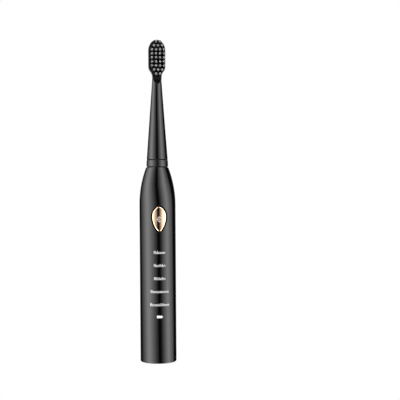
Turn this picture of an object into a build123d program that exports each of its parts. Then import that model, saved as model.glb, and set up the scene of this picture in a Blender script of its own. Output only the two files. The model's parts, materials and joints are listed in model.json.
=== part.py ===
"""Electric toothbrush: a round sonic handle with a brush head on its swinging shaft.

Millimetres. The origin is the centre of the round base, +Z runs up the handle and
-Y is the front, where the power button and the bristles are.
"""
from build123d import *
from math import atan2, cos, degrees, radians, sin, sqrt
import os

# Handle outside
BODY_RADIUS = 13.65
BASE_EDGE = 1.0
SHOULDER_START = 117.2
SHOULDER_ARC = 78.5
HANDLE_TOP = 145.2
TOP_EDGE = 0.35
WALL = 1.95
TOP_WALL = 2.2
INNER_RADIUS = BODY_RADIUS - WALL

# Power button: an egg outline, widest part up
BUTTON_HALF_WIDTH = 5.1
BUTTON_WIDEST = 109.1
BUTTON_TOP = 116.1
BUTTON_BOTTOM = 97.9
BUTTON_CROWN = 3.3
BUTTON_TIP = 1.8
BUTTON_PROUD = 0.25
BUTTON_EDGE = 0.75
BUTTON_BACK = 11.95
BUTTON_TRAVEL = 0.4
STEM_END = 10.75
STEM_RADIUS = 1.4
SWITCH_FRONT = 10.3
SWITCH_HALF_WIDTH = 2.6
PLUNGER_RADIUS = 0.9
GROOVE_WIDTH = 1.0
MEMBRANE_GAP = 0.14
ICON_Z = 106.9
ICON_PROUD = 0.12
ICON_HALF_WIDTH = 2.3
ICON_HALF_HEIGHT = 2.45
ICON_CORNER = 0.55
ICON_DEPTH = 0.55

# Printed marks on the front, each with a light behind it: height and width
MARK_SIZES = [(82.2, 8.8), (72.6, 8.9), (62.9, 8.7), (53.3, 10.6), (43.6, 10.6)]
BATTERY_MARK = (34.9, 4.7)
LIGHT_HEIGHT = 3.2
THIN_WALL = 0.8

# Base
CAP_RECESS = 0.4
CAP_RADIUS = INNER_RADIUS - 0.1
CAP_HEIGHT = 12.4
CAP_FLOOR = 1.6
WELL_RADIUS = 5.0
WELL_TOP = 13.4
WELL_WALL = 1.0
WELL_EDGE = 0.4
SNAP_LOW = 8.0
SNAP_HEIGHT = 1.2
SNAP_DEPTH = 0.3
SEAL_GROOVE_LOW = 3.2
SEAL_GROOVE_HEIGHT = 1.4
SEAL_GROOVE_RADIUS = 10.5
SEAL_WIRE = 0.58
COIL_LOW = 2.8
COIL_HIGH = 12.6

# Chassis inside the handle
CHASSIS_RADIUS = 11.3
CHASSIS_WALL = 1.1
CHASSIS_LOW = 19.5
CHASSIS_TOP = 124.0
CHASSIS_FRONT = 6.3
BULKHEAD = 4.0
MID_BULKHEAD = 75.0
TOP_BULKHEAD = 120.4
NOSE_TOP = 138.5

# Circuit board
BOARD_FRONT = 8.8
BOARD_THICKNESS = 1.0
BOARD_HALF_WIDTH = 6.2
BOARD_LOW = 19.6
BOARD_HIGH = 121.8
BOARD_BACK = BOARD_FRONT - BOARD_THICKNESS
SCREW_X = 4.3
SCREW_HEIGHTS = (21.5, 77.6)
SCREW_SHANK = 0.8

# Battery, size 14500
CELL_RADIUS = 6.85
CELL_Y = 3.0
CELL_LOW = 24.0
CELL_HIGH = 73.0
SLEEVE = 0.15
TAB_THICKNESS = 0.2

# Drive motor and shaft
CAN_RADIUS = 7.5
CAN_WALL = 0.5
CAN_LOW = 82.0
CAN_HIGH = 120.0
BELL_THICKNESS = 3.5
SHAFT_RADIUS = 1.9
SHAFT_LOW = 80.4
SHAFT_TOP = 169.0
SHAFT_FLAT = 1.4
FLAT_LOW = 151.5
RUNNING_GAP = 0.03
BUSH_RADIUS = 3.2
CORE_LOW = 91.0
CORE_HIGH = 111.0
MAGNET_INNER = 2.7
MAGNET_OUTER = 3.9
POLE_INNER = 4.2
POLE_OUTER = 4.9
YOKE_INNER = 5.95
DAMPER_RADIUS = 8.3
DAMPER_HEIGHT = 3.0
DAMPER_LOWS = (86.0, 112.0)

# Brush head
RING_LOW = 145.85
RING_HIGH = 150.6
RING_RADIUS_LOW = 8.2
RING_RADIUS_HIGH = 8.03
RING_RECESS_RADIUS = 7.35
RING_RECESS_DEPTH = 0.5
SPIGOT_RADIUS = 6.2
RING_EDGE = 0.3
LAND_RADIUS = 7.7
NECK_LOW = 151.2
NECK_RADIUS = 7.94
NECK_TAPER = 0.0752
NECK_ROUND_TOP = 180.0
NECK_EDGE = 0.35
COUPLING_RADIUS = 4.2
COUPLING_LOW = 153.0
COUPLING_HIGH = 173.0
PLATE_FRONT = 2.2
PLATE_BACK = 2.6
PLATE_HALF_WIDTH = 6.35
PLATE_NECK = 3.49
FLARE_LOW = 212.3
FLARE_HIGH = 220.3
PLATE_TONGUE = 9.0
FACE_CUT_LOW = 205.0
FACE_CUT_HIGH = 210.4
FACE_CUT_START = 4.2
FACE_CUT_REACH = 10.0
PLATE_STRAIGHT_TOP = 232.0
HEAD_TOP = 240.0

# Bristles
TUFT_ROWS = (2, 3, 4, 4, 4, 4, 4, 3, 2)
TUFT_TOP_ROW = 237.7
TUFT_PITCH = 2.96
TUFT_HOLE = 0.85
TUFT_TIP = 1.05
TUFT_HOLE_DEPTH = 3.4
TUFT_LENGTH = 10.0
ANCHOR_DEPTH = 1.2

# Silicone boot on top of the handle
SEAL_COVER_RADIUS = 7.8
SEAL_STEP_RADIUS = 7.1


def rod(radius, low, high, x=0.0, y=0.0):
    """A cylinder along Z."""
    placed = Cylinder(radius, high - low, align=(Align.CENTER, Align.CENTER, Align.MIN))
    return Pos(x, y, low) * placed


def tube(outer, inner, low, high):
    """A round tube along Z on the handle's axis."""
    return rod(outer, low, high) - rod(inner, low - 1, high + 1)


def pin(radius, front, back, x, z):
    """A cylinder along Y, from the front's depth to the back's."""
    placed = Cylinder(radius, back - front, align=(Align.CENTER, Align.CENTER, Align.MIN))
    return Pos(x, front, z) * Rot(-90, 0, 0) * placed


def block(low, high):
    """A box between two corners."""
    sides = [far - near for near, far in zip(low, high)]
    return Pos(*low) * Box(*sides, align=(Align.MIN, Align.MIN, Align.MIN))


def turned(outline):
    """Turn an outline, drawn as (radius, height), about the handle's axis."""
    return revolve(Plane.XZ * make_face(outline), Axis.Z)


def turned_polygon(*corners):
    """Turn a straight-sided outline about the handle's axis."""
    return turned(Polyline(*corners, close=True))


def from_front(face, front, back):
    """Push an outline, drawn as (x, height), along Y from the front's depth to the back's."""
    return extrude(Plane.XZ.offset(-front) * face, back - front, dir=(0, 1, 0))


def sector(outer, inner, low, high, middle_deg, span_deg):
    """A piece of a tube, span_deg wide about the direction middle_deg."""
    outline = [
        CenterArc((0, 0), outer, middle_deg - span_deg / 2, span_deg),
        CenterArc((0, 0), inner, middle_deg - span_deg / 2, span_deg),
    ]
    for side in (-1, 1):
        turn = radians(middle_deg + side * span_deg / 2)
        inner_end = (inner * cos(turn), inner * sin(turn))
        outer_end = (outer * cos(turn), outer * sin(turn))
        outline.append(Line(inner_end, outer_end))
    return extrude(Pos(0, 0, low) * make_face(outline), high - low)


def shoulder_radius(height, depth=0.0):
    """Radius of the shoulder's arc at a height, depth below the outer surface."""
    rise = height - SHOULDER_START
    return BODY_RADIUS - SHOULDER_ARC + sqrt((SHOULDER_ARC - depth) ** 2 - rise ** 2)


def body_form(depth, low, high):
    """The handle's outer form, shrunk by depth, from the axis out, between two heights."""
    radius = BODY_RADIUS - depth
    top_radius = shoulder_radius(high, depth)
    middle = (SHOULDER_START + high) / 2
    return (
        Line((0, low), (radius, low))
        + Line((radius, low), (radius, SHOULDER_START))
        + ThreePointArc(
            (radius, SHOULDER_START),
            (shoulder_radius(middle, depth), middle),
            (top_radius, high),
        )
        + Line((top_radius, high), (0, high))
        + Line((0, high), (0, low))
    )


def egg(grow=0.0):
    """The button's outline: a crown arc and a tip arc joined by two pairs of flank arcs."""
    half = BUTTON_HALF_WIDTH + grow
    ends = (
        (BUTTON_TOP - BUTTON_WIDEST + grow, BUTTON_CROWN + grow),
        (BUTTON_WIDEST - BUTTON_BOTTOM + grow, BUTTON_TIP + grow),
    )
    flanks = []
    for reach, end_radius in ends:
        offset = reach - end_radius
        flank = (half ** 2 + offset ** 2 - end_radius ** 2) / (2 * (half - end_radius))
        turn = degrees(atan2(offset, flank - half))
        flanks.append((flank, turn, offset, end_radius))
    (up, up_turn, up_offset, crown), (down, down_turn, down_offset, tip) = flanks
    return make_face([
        CenterArc((half - up, BUTTON_WIDEST), up, 0, up_turn),
        CenterArc((0, BUTTON_WIDEST + up_offset), crown, up_turn, 180 - 2 * up_turn),
        CenterArc((up - half, BUTTON_WIDEST), up, 180 - up_turn, up_turn),
        CenterArc((down - half, BUTTON_WIDEST), down, 180, down_turn),
        CenterArc((0, BUTTON_WIDEST - down_offset), tip, 180 + down_turn, 180 - 2 * down_turn),
        CenterArc((half - down, BUTTON_WIDEST), down, -down_turn, down_turn),
    ])


def light_places():
    """Each light's height and width: five modes and the battery light."""
    return MARK_SIZES + [BATTERY_MARK]


# ---------------------------------------------------------------- handle casing

def handle_shell():
    """One-piece casing: open base, thinned windows for the lights and the button's opening."""
    shell = turned(body_form(0, 0, HANDLE_TOP))
    rims = shell.edges().filter_by(GeomType.CIRCLE).sort_by(Axis.Z)
    shell = fillet(rims[0], BASE_EDGE)
    rims = shell.edges().filter_by(GeomType.CIRCLE).sort_by(Axis.Z)
    shell = fillet(rims[-1], TOP_EDGE)
    shell -= turned(body_form(WALL, -1, HANDLE_TOP - TOP_WALL))
    shell -= rod(5.0, HANDLE_TOP - TOP_WALL - 1, HANDLE_TOP + 1)
    snap_groove = rod(INNER_RADIUS + SNAP_DEPTH + 0.1, SNAP_LOW - 0.1, SNAP_LOW + SNAP_HEIGHT + 0.1)
    shell -= snap_groove
    window_depth = rod(BODY_RADIUS - THIN_WALL, 0, SHOULDER_START)
    for height, width in light_places():
        low = (-width / 2, -BODY_RADIUS, height - LIGHT_HEIGHT / 2)
        high = (width / 2, -5, height + LIGHT_HEIGHT / 2)
        shell -= block(low, high) & window_depth
    shell -= from_front(egg(GROOVE_WIDTH), -BODY_RADIUS - 1, -5)
    return shell


# ---------------------------------------------------------------- base

def base_cap():
    """Plug that closes the base, with the blind well that the charger's post fits."""
    outer = (
        (WELL_RADIUS, CAP_RECESS),
        (CAP_RADIUS - 0.4, CAP_RECESS),
        (CAP_RADIUS, CAP_RECESS + 0.4),
        (CAP_RADIUS, SEAL_GROOVE_LOW),
        (SEAL_GROOVE_RADIUS, SEAL_GROOVE_LOW),
        (SEAL_GROOVE_RADIUS, SEAL_GROOVE_LOW + SEAL_GROOVE_HEIGHT),
        (CAP_RADIUS, SEAL_GROOVE_LOW + SEAL_GROOVE_HEIGHT),
        (CAP_RADIUS, SNAP_LOW),
        (INNER_RADIUS + SNAP_DEPTH, SNAP_LOW + SNAP_HEIGHT / 2),
        (CAP_RADIUS, SNAP_LOW + SNAP_HEIGHT),
        (CAP_RADIUS, CAP_HEIGHT),
    )
    inner_radius = SEAL_GROOVE_RADIUS - 0.6
    floor_top = CAP_RECESS + CAP_FLOOR
    well_outer = WELL_RADIUS + WELL_WALL
    inner = (
        (inner_radius, CAP_HEIGHT),
        (inner_radius, floor_top),
        (well_outer, floor_top),
        (well_outer, WELL_TOP + WELL_WALL),
        (0, WELL_TOP + WELL_WALL),
        (0, WELL_TOP),
        (WELL_RADIUS, WELL_TOP),
    )
    cap = turned_polygon(*outer, *inner)
    mouth = [
        edge
        for edge in cap.edges().filter_by(GeomType.CIRCLE)
        if abs(edge.radius - WELL_RADIUS) < 0.01 and edge.center().Z < WELL_TOP / 2
    ]
    return fillet(mouth, WELL_EDGE)


def base_seal_ring():
    """Silicone ring in the cap's groove."""
    middle = (SEAL_GROOVE_RADIUS + INNER_RADIUS) / 2
    height = SEAL_GROOVE_LOW + SEAL_GROOVE_HEIGHT / 2
    return Pos(0, 0, height) * Torus(middle, SEAL_WIRE)


def coil_bobbin():
    """Spool around the charging well."""
    hub_inner = WELL_RADIUS + WELL_WALL + 0.1
    hub_outer = hub_inner + 0.7
    flange = 9.7
    return turned_polygon(
        (hub_inner, COIL_LOW - 0.7), (flange, COIL_LOW - 0.7), (flange, COIL_LOW),
        (hub_outer, COIL_LOW), (hub_outer, COIL_HIGH), (flange, COIL_HIGH),
        (flange, COIL_HIGH + 0.7), (hub_inner, COIL_HIGH + 0.7),
    )


def charging_coil():
    """Copper winding on the spool."""
    return tube(9.4, WELL_RADIUS + WELL_WALL + 0.8, COIL_LOW, COIL_HIGH)


def ferrite_disc():
    """Ferrite shield on the closed end of the well."""
    low = WELL_TOP + WELL_WALL
    disc = rod(7.4, low, low + 1.5)
    return chamfer(disc.edges().filter_by(GeomType.CIRCLE), 0.2)


def base_foam_pad():
    """Foam between the ferrite and the chassis."""
    return rod(6.4, WELL_TOP + WELL_WALL + 1.5, CHASSIS_LOW)


# ---------------------------------------------------------------- chassis

def chassis_trough():
    """Half tube behind the board, with the rails that the board slides in."""
    trough = tube(CHASSIS_RADIUS, CHASSIS_RADIUS - CHASSIS_WALL, CHASSIS_LOW, CHASSIS_TOP)
    trough &= block((-20, -CHASSIS_FRONT, 0), (20, 20, CHASSIS_TOP))
    round_limit = rod(CHASSIS_RADIUS, CHASSIS_LOW, MID_BULKHEAD + BULKHEAD)
    for side in (-1, 1):
        inner_x, outer_x = sorted((side * 5.5, side * 9.6))
        rail = block((inner_x, -9.3, CHASSIS_LOW), (outer_x, -CHASSIS_FRONT, MID_BULKHEAD + BULKHEAD))
        trough += rail & round_limit
    return trough


def chassis_bulkheads():
    """Cross walls under the cell, between cell and motor, and above the motor."""
    walls = []
    for low, high in (
        (CHASSIS_LOW, CHASSIS_LOW + BULKHEAD),
        (MID_BULKHEAD, MID_BULKHEAD + BULKHEAD),
        (TOP_BULKHEAD, CHASSIS_TOP),
    ):
        disc = rod(CHASSIS_RADIUS - 0.1, low, high)
        walls.append(disc & block((-20, -9.3, low), (20, 20, high)))
    return walls


def motor_saddles():
    """Half rings that hold the damper rings around the motor."""
    saddles = []
    for low in DAMPER_LOWS:
        ring = tube(CHASSIS_RADIUS - CHASSIS_WALL + 0.2, DAMPER_RADIUS + 0.05, low, low + DAMPER_HEIGHT)
        saddles.append(ring & block((-20, -CHASSIS_FRONT, low), (20, 20, low + DAMPER_HEIGHT)))
    return saddles


def chassis():
    """Inner frame that carries the board, the cell and the motor."""
    frame = chassis_trough()
    for wall in chassis_bulkheads() + motor_saddles():
        frame += wall
    frame += tube(7.0, 5.6, CHASSIS_TOP - 0.5, NOSE_TOP)
    frame -= rod(5.6, CHASSIS_TOP - 0.5, NOSE_TOP + 1)
    frame -= rod(SHAFT_RADIUS + 0.7, TOP_BULKHEAD - 1, CHASSIS_TOP + 1)
    board_slot = BOARD_HALF_WIDTH + 0.1
    frame -= block(
        (-board_slot, -BOARD_FRONT - 0.05, CHASSIS_LOW - 1),
        (board_slot, -BOARD_BACK + 0.05, BOARD_HIGH + 0.1),
    )
    for low in (CHASSIS_LOW, MID_BULKHEAD):
        front_lip = block((-5.5, -10, low - 1), (5.5, -BOARD_BACK + 0.05, low + BULKHEAD + 1))
        frame -= front_lip
    for side in (-1, 1):
        for height in SCREW_HEIGHTS:
            frame -= pin(SCREW_SHANK, -BOARD_FRONT, -2.5, side * SCREW_X, height)
            frame -= pin(1.6, -10, -BOARD_FRONT, side * SCREW_X, height)
    frame -= block((-1.6, -7.8, MID_BULKHEAD - 1), (1.6, -6.2, MID_BULKHEAD + BULKHEAD + 1))
    frame -= rod(2.2, MID_BULKHEAD - 1, MID_BULKHEAD + BULKHEAD + 1, 0, 3.0)
    return frame


def seal_retainer():
    """Ring on the chassis nose that holds the shaft seal up against the casing."""
    return tube(7.7, 3.4, NOSE_TOP, NOSE_TOP + 2.0)


# ---------------------------------------------------------------- battery

def battery_cell():
    """Cylindrical lithium cell with its rolled groove and top cap."""
    cell = rod(CELL_RADIUS, CELL_LOW, CELL_HIGH, 0, CELL_Y)
    cell = fillet(cell.edges().filter_by(GeomType.CIRCLE), 0.5)
    groove = rod(CELL_RADIUS + 1, 69.6, 70.6) - rod(CELL_RADIUS - 0.45, 69.0, 71.0)
    cell -= Pos(0, CELL_Y, 0) * groove
    return cell + rod(2.75, CELL_HIGH - 0.5, CELL_HIGH + 0.9, 0, CELL_Y)


def battery_sleeve():
    """Shrink sleeve on the cell."""
    return Pos(0, CELL_Y, 0) * tube(CELL_RADIUS + SLEEVE, CELL_RADIUS, CELL_LOW + 0.2, CELL_HIGH - 0.2)


def battery_tabs():
    """Nickel strips from the cell's two ends to the back of the board."""
    tabs = []
    for low, leg_low, leg_high in (
        (CELL_HIGH + 0.9, CELL_HIGH - 1.6, CELL_HIGH + 0.9),
        (CELL_LOW - TAB_THICKNESS, CELL_LOW, CELL_LOW + 2.5),
    ):
        strip = block((-2, -BOARD_BACK, low), (2, CELL_Y + 2, low + TAB_THICKNESS))
        leg = block((-2, -BOARD_BACK, leg_low), (2, -BOARD_BACK + TAB_THICKNESS, leg_high))
        tabs.append(strip + leg)
    return tabs


# ---------------------------------------------------------------- electronics

def circuit_board():
    """Long narrow board in front of the cell and the motor."""
    board = block(
        (-BOARD_HALF_WIDTH, -BOARD_FRONT, BOARD_LOW),
        (BOARD_HALF_WIDTH, -BOARD_BACK, BOARD_HIGH),
    )
    board = fillet(board.edges().filter_by(Axis.Y), 0.6)
    for side in (-1, 1):
        for height in SCREW_HEIGHTS:
            board -= pin(SCREW_SHANK + 0.1, -BOARD_FRONT - 1, -BOARD_BACK + 1, side * SCREW_X, height)
    return board


def board_screws():
    """Four pan-head screws that hold the board to the chassis."""
    screws = []
    for side in (-1, 1):
        for height in SCREW_HEIGHTS:
            x = side * SCREW_X
            head = pin(1.4, -BOARD_FRONT - 0.8, -BOARD_FRONT, x, height)
            head = fillet(head.edges().filter_by(GeomType.CIRCLE).sort_by(Axis.Y)[0], 0.35)
            slot_low = (x - 0.9, -BOARD_FRONT - 1.0, height - 0.15)
            slot_high = (x + 0.9, -BOARD_FRONT - 0.45, height + 0.15)
            head -= block(slot_low, slot_high)
            slot_turned = Pos(x, 0, height) * Rot(0, 90, 0) * Pos(-x, 0, -height)
            head -= slot_turned * block(slot_low, slot_high)
            screws.append(head + pin(SCREW_SHANK, -BOARD_FRONT, -3.0, x, height))
    return screws


def microcontroller():
    """Square flat chip on the back of the board."""
    chip = block((-2.5, -BOARD_BACK, 47.5), (2.5, -BOARD_BACK + 0.9, 52.5))
    return chamfer(chip.faces().sort_by(Axis.Y)[-1].edges(), 0.15)


def board_chips():
    """Charger, driver and regulator chips."""
    chips = []
    for x, z, width, height in ((-2.4, 62.0, 4.0, 5.0), (2.8, 61.0, 3.0, 3.0), (0, 36.0, 4.0, 5.0)):
        low = (x - width / 2, -BOARD_BACK, z - height / 2)
        high = (x + width / 2, -BOARD_BACK + 1.3, z + height / 2)
        chips.append(block(low, high))
    return chips


def board_passives():
    """Small capacitors and resistors beside the chips."""
    parts = []
    for x in (-4.6, 4.6):
        for z in (31.0, 34.5, 38.0, 44.5, 48.0, 51.5, 55.0, 67.0):
            low = (x - 0.4, -BOARD_BACK, z - 0.8)
            parts.append(block(low, (x + 0.4, -BOARD_BACK + 0.7, z + 0.8)))
    return parts


def charging_choke():
    """Wound choke of the charging circuit."""
    choke = pin(2.4, -BOARD_BACK, -BOARD_BACK + 2.2, 0, 29.2)
    waist = pin(3, -BOARD_BACK + 0.5, -BOARD_BACK + 1.7, 0, 29.2)
    waist -= pin(1.9, -BOARD_BACK, -BOARD_BACK + 2.2, 0, 29.2)
    return choke - waist


def led(height, x=0.0):
    """One light-emitting diode: a base and a clear dome, made as one piece."""
    low = (x - 0.8, -BOARD_FRONT - 0.35, height - 0.4)
    base = block(low, (x + 0.8, -BOARD_FRONT, height + 0.4))
    lens = block((x - 0.5, -BOARD_FRONT - 0.75, height - 0.3), (x + 0.5, -BOARD_FRONT - 0.35, height + 0.3))
    return base + chamfer(lens.faces().sort_by(Axis.Y)[0].edges(), 0.12)


def mode_leds():
    """One light behind each of the five mode marks."""
    return [led(height) for height, width in MARK_SIZES]


def battery_led():
    """Light behind the battery mark."""
    return led(BATTERY_MARK[0])


def light_cell(height, width, margin):
    """The pocket in the baffle for one light, and less its margin the light guide's form."""
    half = min(width / 2, 4.9) - margin
    half_height = 1.2 - margin
    return block((-half, -BODY_RADIUS, height - half_height), (half, -BOARD_FRONT, height + half_height))


def light_baffle():
    """Black bar that keeps each light to its own window."""
    bar = block((-5.4, -BODY_RADIUS, 32.4), (5.4, -BOARD_FRONT, 84.8)) & rod(INNER_RADIUS - 0.1, 0, 90)
    for height, width in light_places():
        bar -= light_cell(height, width, 0)
    for side in (-1, 1):
        bar -= pin(1.8, -BODY_RADIUS, -BOARD_FRONT + 1, side * SCREW_X, SCREW_HEIGHTS[1])
    return bar


def light_guides():
    """Clear blocks from each light to its thin window in the casing."""
    guides = []
    front_limit = rod(BODY_RADIUS - THIN_WALL - 0.1, 0, 90)
    for height, width in light_places():
        guide = light_cell(height, width, 0.05) & front_limit
        lamp = block((-0.9, -BOARD_FRONT - 0.85, height - 0.5), (0.9, -BOARD_FRONT + 1, height + 0.5))
        guides.append(guide - lamp)
    return guides


def coil_leads():
    """Two leads from the charging coil to the bottom of the board."""
    return [rod(0.35, COIL_HIGH + 0.7, BOARD_LOW, side * 2.5, -8.3) for side in (-1, 1)]


def motor_leads():
    """Two leads out of the motor's rear end to the back of the board."""
    leads = []
    for side in (-1, 1):
        x = side * 2.0
        route = FilletPolyline((x, -5.2, 88.5), (x, -5.2, 80.5), (x, -BOARD_BACK, 80.5), radius=1.6)
        section = Plane(origin=route @ 0, z_dir=route % 0) * Circle(0.4)
        leads.append(sweep(section, path=route))
    return leads


# ---------------------------------------------------------------- power button

def switch_body():
    """Tact switch on the board, under the power button."""
    low = (-SWITCH_HALF_WIDTH, -SWITCH_FRONT, ICON_Z - SWITCH_HALF_WIDTH)
    high = (SWITCH_HALF_WIDTH, -BOARD_FRONT, ICON_Z + SWITCH_HALF_WIDTH)
    body = chamfer(block(low, high).edges().filter_by(Axis.Y), 0.4)
    return body - pin(PLUNGER_RADIUS + 0.05, -SWITCH_FRONT - 1, -BOARD_FRONT, 0, ICON_Z)


def switch_plunger():
    """Plunger of the tact switch; it moves with the power button."""
    return pin(PLUNGER_RADIUS, -STEM_END, -BOARD_FRONT - BUTTON_TRAVEL - 0.05, 0, ICON_Z)


def button_membrane():
    """Silicone seal behind the button: a flange inside the casing and a lip in the opening."""
    flange = from_front(egg(1.9), -BODY_RADIUS, -5) & tube(INNER_RADIUS - 0.05, 10.85, 90, 125)
    web = from_front(egg(GROOVE_WIDTH), -11.2, -10.7)
    lip = from_front(egg(GROOVE_WIDTH - 0.03), -BODY_RADIUS, -10.8) & rod(BODY_RADIUS - 0.7, 90, 125)
    lip -= from_front(egg(MEMBRANE_GAP), -BODY_RADIUS - 1, -5)
    flange -= from_front(egg(MEMBRANE_GAP), -BODY_RADIUS - 1, -5)
    seal = flange + lip + web
    return seal - pin(STEM_RADIUS + 0.2, -BODY_RADIUS, -5, 0, ICON_Z)


def icon_face():
    """Rounded diamond on the button."""
    diamond = make_face(Polyline(
        (ICON_HALF_WIDTH, ICON_Z), (0, ICON_Z + ICON_HALF_HEIGHT),
        (-ICON_HALF_WIDTH, ICON_Z), (0, ICON_Z - ICON_HALF_HEIGHT), close=True,
    ))
    return fillet(diamond.vertices(), ICON_CORNER)


def power_button():
    """Plated cap that slides in the casing's opening, with its stem to the switch."""
    surface = rod(BODY_RADIUS + BUTTON_PROUD, 90, 125)
    cap = from_front(egg(), -BODY_RADIUS - 1, -BUTTON_BACK) & surface
    front_edges = [edge for edge in cap.edges() if edge.center().Y < -BUTTON_BACK - 0.3]
    rim = [edge for edge in front_edges if edge.geom_type != GeomType.LINE]
    cap = fillet(rim, BUTTON_EDGE)
    cap -= from_front(icon_face(), -BODY_RADIUS - 2, -BODY_RADIUS + ICON_DEPTH)
    return cap + pin(STEM_RADIUS, -BUTTON_BACK - 0.5, -STEM_END, 0, ICON_Z)


def button_icon():
    """Raised inlay on the button, for the power symbol."""
    surface = rod(BODY_RADIUS + BUTTON_PROUD + ICON_PROUD, 90, 125)
    return from_front(icon_face(), -BODY_RADIUS - 2, -BODY_RADIUS + ICON_DEPTH) & surface


# ---------------------------------------------------------------- motor

def motor_can():
    """Steel case of the drive motor."""
    return tube(CAN_RADIUS, CAN_RADIUS - CAN_WALL, CAN_LOW, CAN_HIGH)


def motor_bell(low):
    """End plate of the motor, with the bush's seat."""
    bell = tube(CAN_RADIUS - CAN_WALL, BUSH_RADIUS, low, low + BELL_THICKNESS)
    for turn in range(0, 360, 90):
        x = 5.1 * cos(radians(turn))
        y = 5.1 * sin(radians(turn))
        bell -= rod(0.9, low - 1, low + BELL_THICKNESS + 1, x, y)
    return bell


def motor_rear_bell():
    """Rear end plate, with two holes for the leads."""
    bell = motor_bell(CAN_LOW)
    for side in (-1, 1):
        bell -= rod(0.5, CAN_LOW - 1, CAN_LOW + BELL_THICKNESS + 1, side * 2.0, -5.2)
    return bell


def motor_front_bell():
    """Front end plate."""
    return motor_bell(CAN_HIGH - BELL_THICKNESS)


def bush(low):
    """Sintered bronze bush that the shaft turns in."""
    return tube(BUSH_RADIUS, SHAFT_RADIUS + RUNNING_GAP, low, low + 3.0)


def rear_bush():
    """Bush in the rear end plate."""
    return bush(CAN_LOW + 0.5)


def front_bush():
    """Bush in the front end plate."""
    return bush(CAN_HIGH - BELL_THICKNESS)


def stator_core():
    """Laminated iron ring with two poles."""
    core = tube(CAN_RADIUS - CAN_WALL, YOKE_INNER, CORE_LOW, CORE_HIGH)
    for middle in (0, 180):
        core += sector(POLE_OUTER, POLE_INNER, CORE_LOW, CORE_HIGH, middle, 104)
    for side in (-1, 1):
        near, far = sorted((side * (POLE_INNER + 0.2), side * (YOKE_INNER + 0.2)))
        core += block((near, -1.4, CORE_LOW), (far, 1.4, CORE_HIGH))
    return core


def stator_coils():
    """Copper windings around the two poles."""
    coils = []
    for side in (-1, 1):
        near, far = sorted((0, side * 7))
        loop = block((near, -3.3, CORE_LOW - 1.8), (far, 3.3, CORE_HIGH + 1.8))
        loop -= block((near - 1, -1.5, CORE_LOW - 0.1), (far + 1, 1.5, CORE_HIGH + 0.1))
        space = tube(YOKE_INNER - 0.05, POLE_OUTER + 0.05, CORE_LOW - 2, CORE_HIGH + 2)
        coils.append(loop & space)
    return coils


def rotor_sleeve():
    """Steel sleeve on the shaft, under the magnets."""
    return tube(MAGNET_INNER, SHAFT_RADIUS, CORE_LOW - 1, CORE_HIGH + 1)


def rotor_magnets():
    """Four arc magnets."""
    return [
        sector(MAGNET_OUTER, MAGNET_INNER, CORE_LOW, CORE_HIGH, middle, 84)
        for middle in (45, 135, 225, 315)
    ]


def drive_shaft():
    """Steel shaft: clip groove at the rear and a flat for the brush head at the top."""
    shaft = rod(SHAFT_RADIUS, SHAFT_LOW, SHAFT_TOP)
    shaft = chamfer(shaft.edges().filter_by(GeomType.CIRCLE), 0.4)
    shaft -= rod(SHAFT_RADIUS + 1, 81.2, 81.7) - rod(1.5, 81, 82)
    return shaft - block((-3, -3, FLAT_LOW), (3, -SHAFT_FLAT, SHAFT_TOP + 1))


def shaft_clip():
    """Retaining clip in the shaft's rear groove."""
    return sector(2.9, 1.5, 81.22, 81.68, 90, 290)


def thrust_washers():
    """Washers between the bushes and the rotor."""
    return [
        tube(3.0, SHAFT_RADIUS + 0.05, low, low + 0.4)
        for low in (CAN_LOW + BELL_THICKNESS, CAN_HIGH - BELL_THICKNESS - 0.4)
    ]


def damper_rings():
    """Silicone rings that hold the motor in its saddles."""
    rings = []
    for low in DAMPER_LOWS:
        ring = tube(DAMPER_RADIUS, CAN_RADIUS, low + 0.1, low + DAMPER_HEIGHT - 0.1)
        front = block((-20, -20, 0), (20, -BOARD_BACK + 0.1, 200))
        rings.append(ring - front)
    return rings


def shaft_seal():
    """Silicone boot that closes the casing's top hole around the shaft."""
    lip = SHAFT_RADIUS + 0.06
    low = NOSE_TOP + 2.0
    flange_top = HANDLE_TOP - TOP_WALL
    cover_top = RING_LOW - 0.12
    step_top = RING_LOW + 0.25
    return turned_polygon(
        (3.5, low), (6.7, low), (6.7, flange_top), (4.9, flange_top), (4.9, HANDLE_TOP),
        (SEAL_COVER_RADIUS, HANDLE_TOP), (SEAL_COVER_RADIUS, cover_top), (SEAL_STEP_RADIUS, cover_top),
        (SEAL_STEP_RADIUS, step_top), (4.9, step_top), (4.9, 147.2),
        (2.9, 148.9), (lip, 148.9), (lip, 147.7), (3.5, 146.0),
    )


# ---------------------------------------------------------------- brush head

def neck_section(height, half_width, half_depth, shift=0.0):
    """One cross-section of the neck."""
    return Pos(0, shift, height) * Ellipse(half_width, half_depth)


def neck_radius(height):
    """Half the neck's width at a height, on its straight taper."""
    return NECK_RADIUS - NECK_TAPER * (height - NECK_LOW)


def head_neck():
    """Neck: a cone up to half way, then flattening into the bristle plate."""
    foot = (NECK_RADIUS, NECK_LOW)
    top_radius = neck_radius(NECK_ROUND_TOP)
    cone = turned_polygon((0, NECK_LOW), foot, (top_radius, NECK_ROUND_TOP), (0, NECK_ROUND_TOP))
    cone = fillet(cone.edges().filter_by(GeomType.CIRCLE).sort_by(Axis.Z)[0], NECK_EDGE)
    sections = [neck_section(NECK_ROUND_TOP, top_radius, top_radius)]
    for rise, half_depth, shift in ((10.0, 4.85, 0.0), (20.0, 3.95, -0.08)):
        height = NECK_ROUND_TOP + rise
        sections.append(neck_section(height, neck_radius(height), half_depth, shift))
    sections.append(neck_section(FLARE_LOW, PLATE_NECK - 0.09, 2.85, -0.3))
    return cone + loft(sections) - face_cut()


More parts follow.
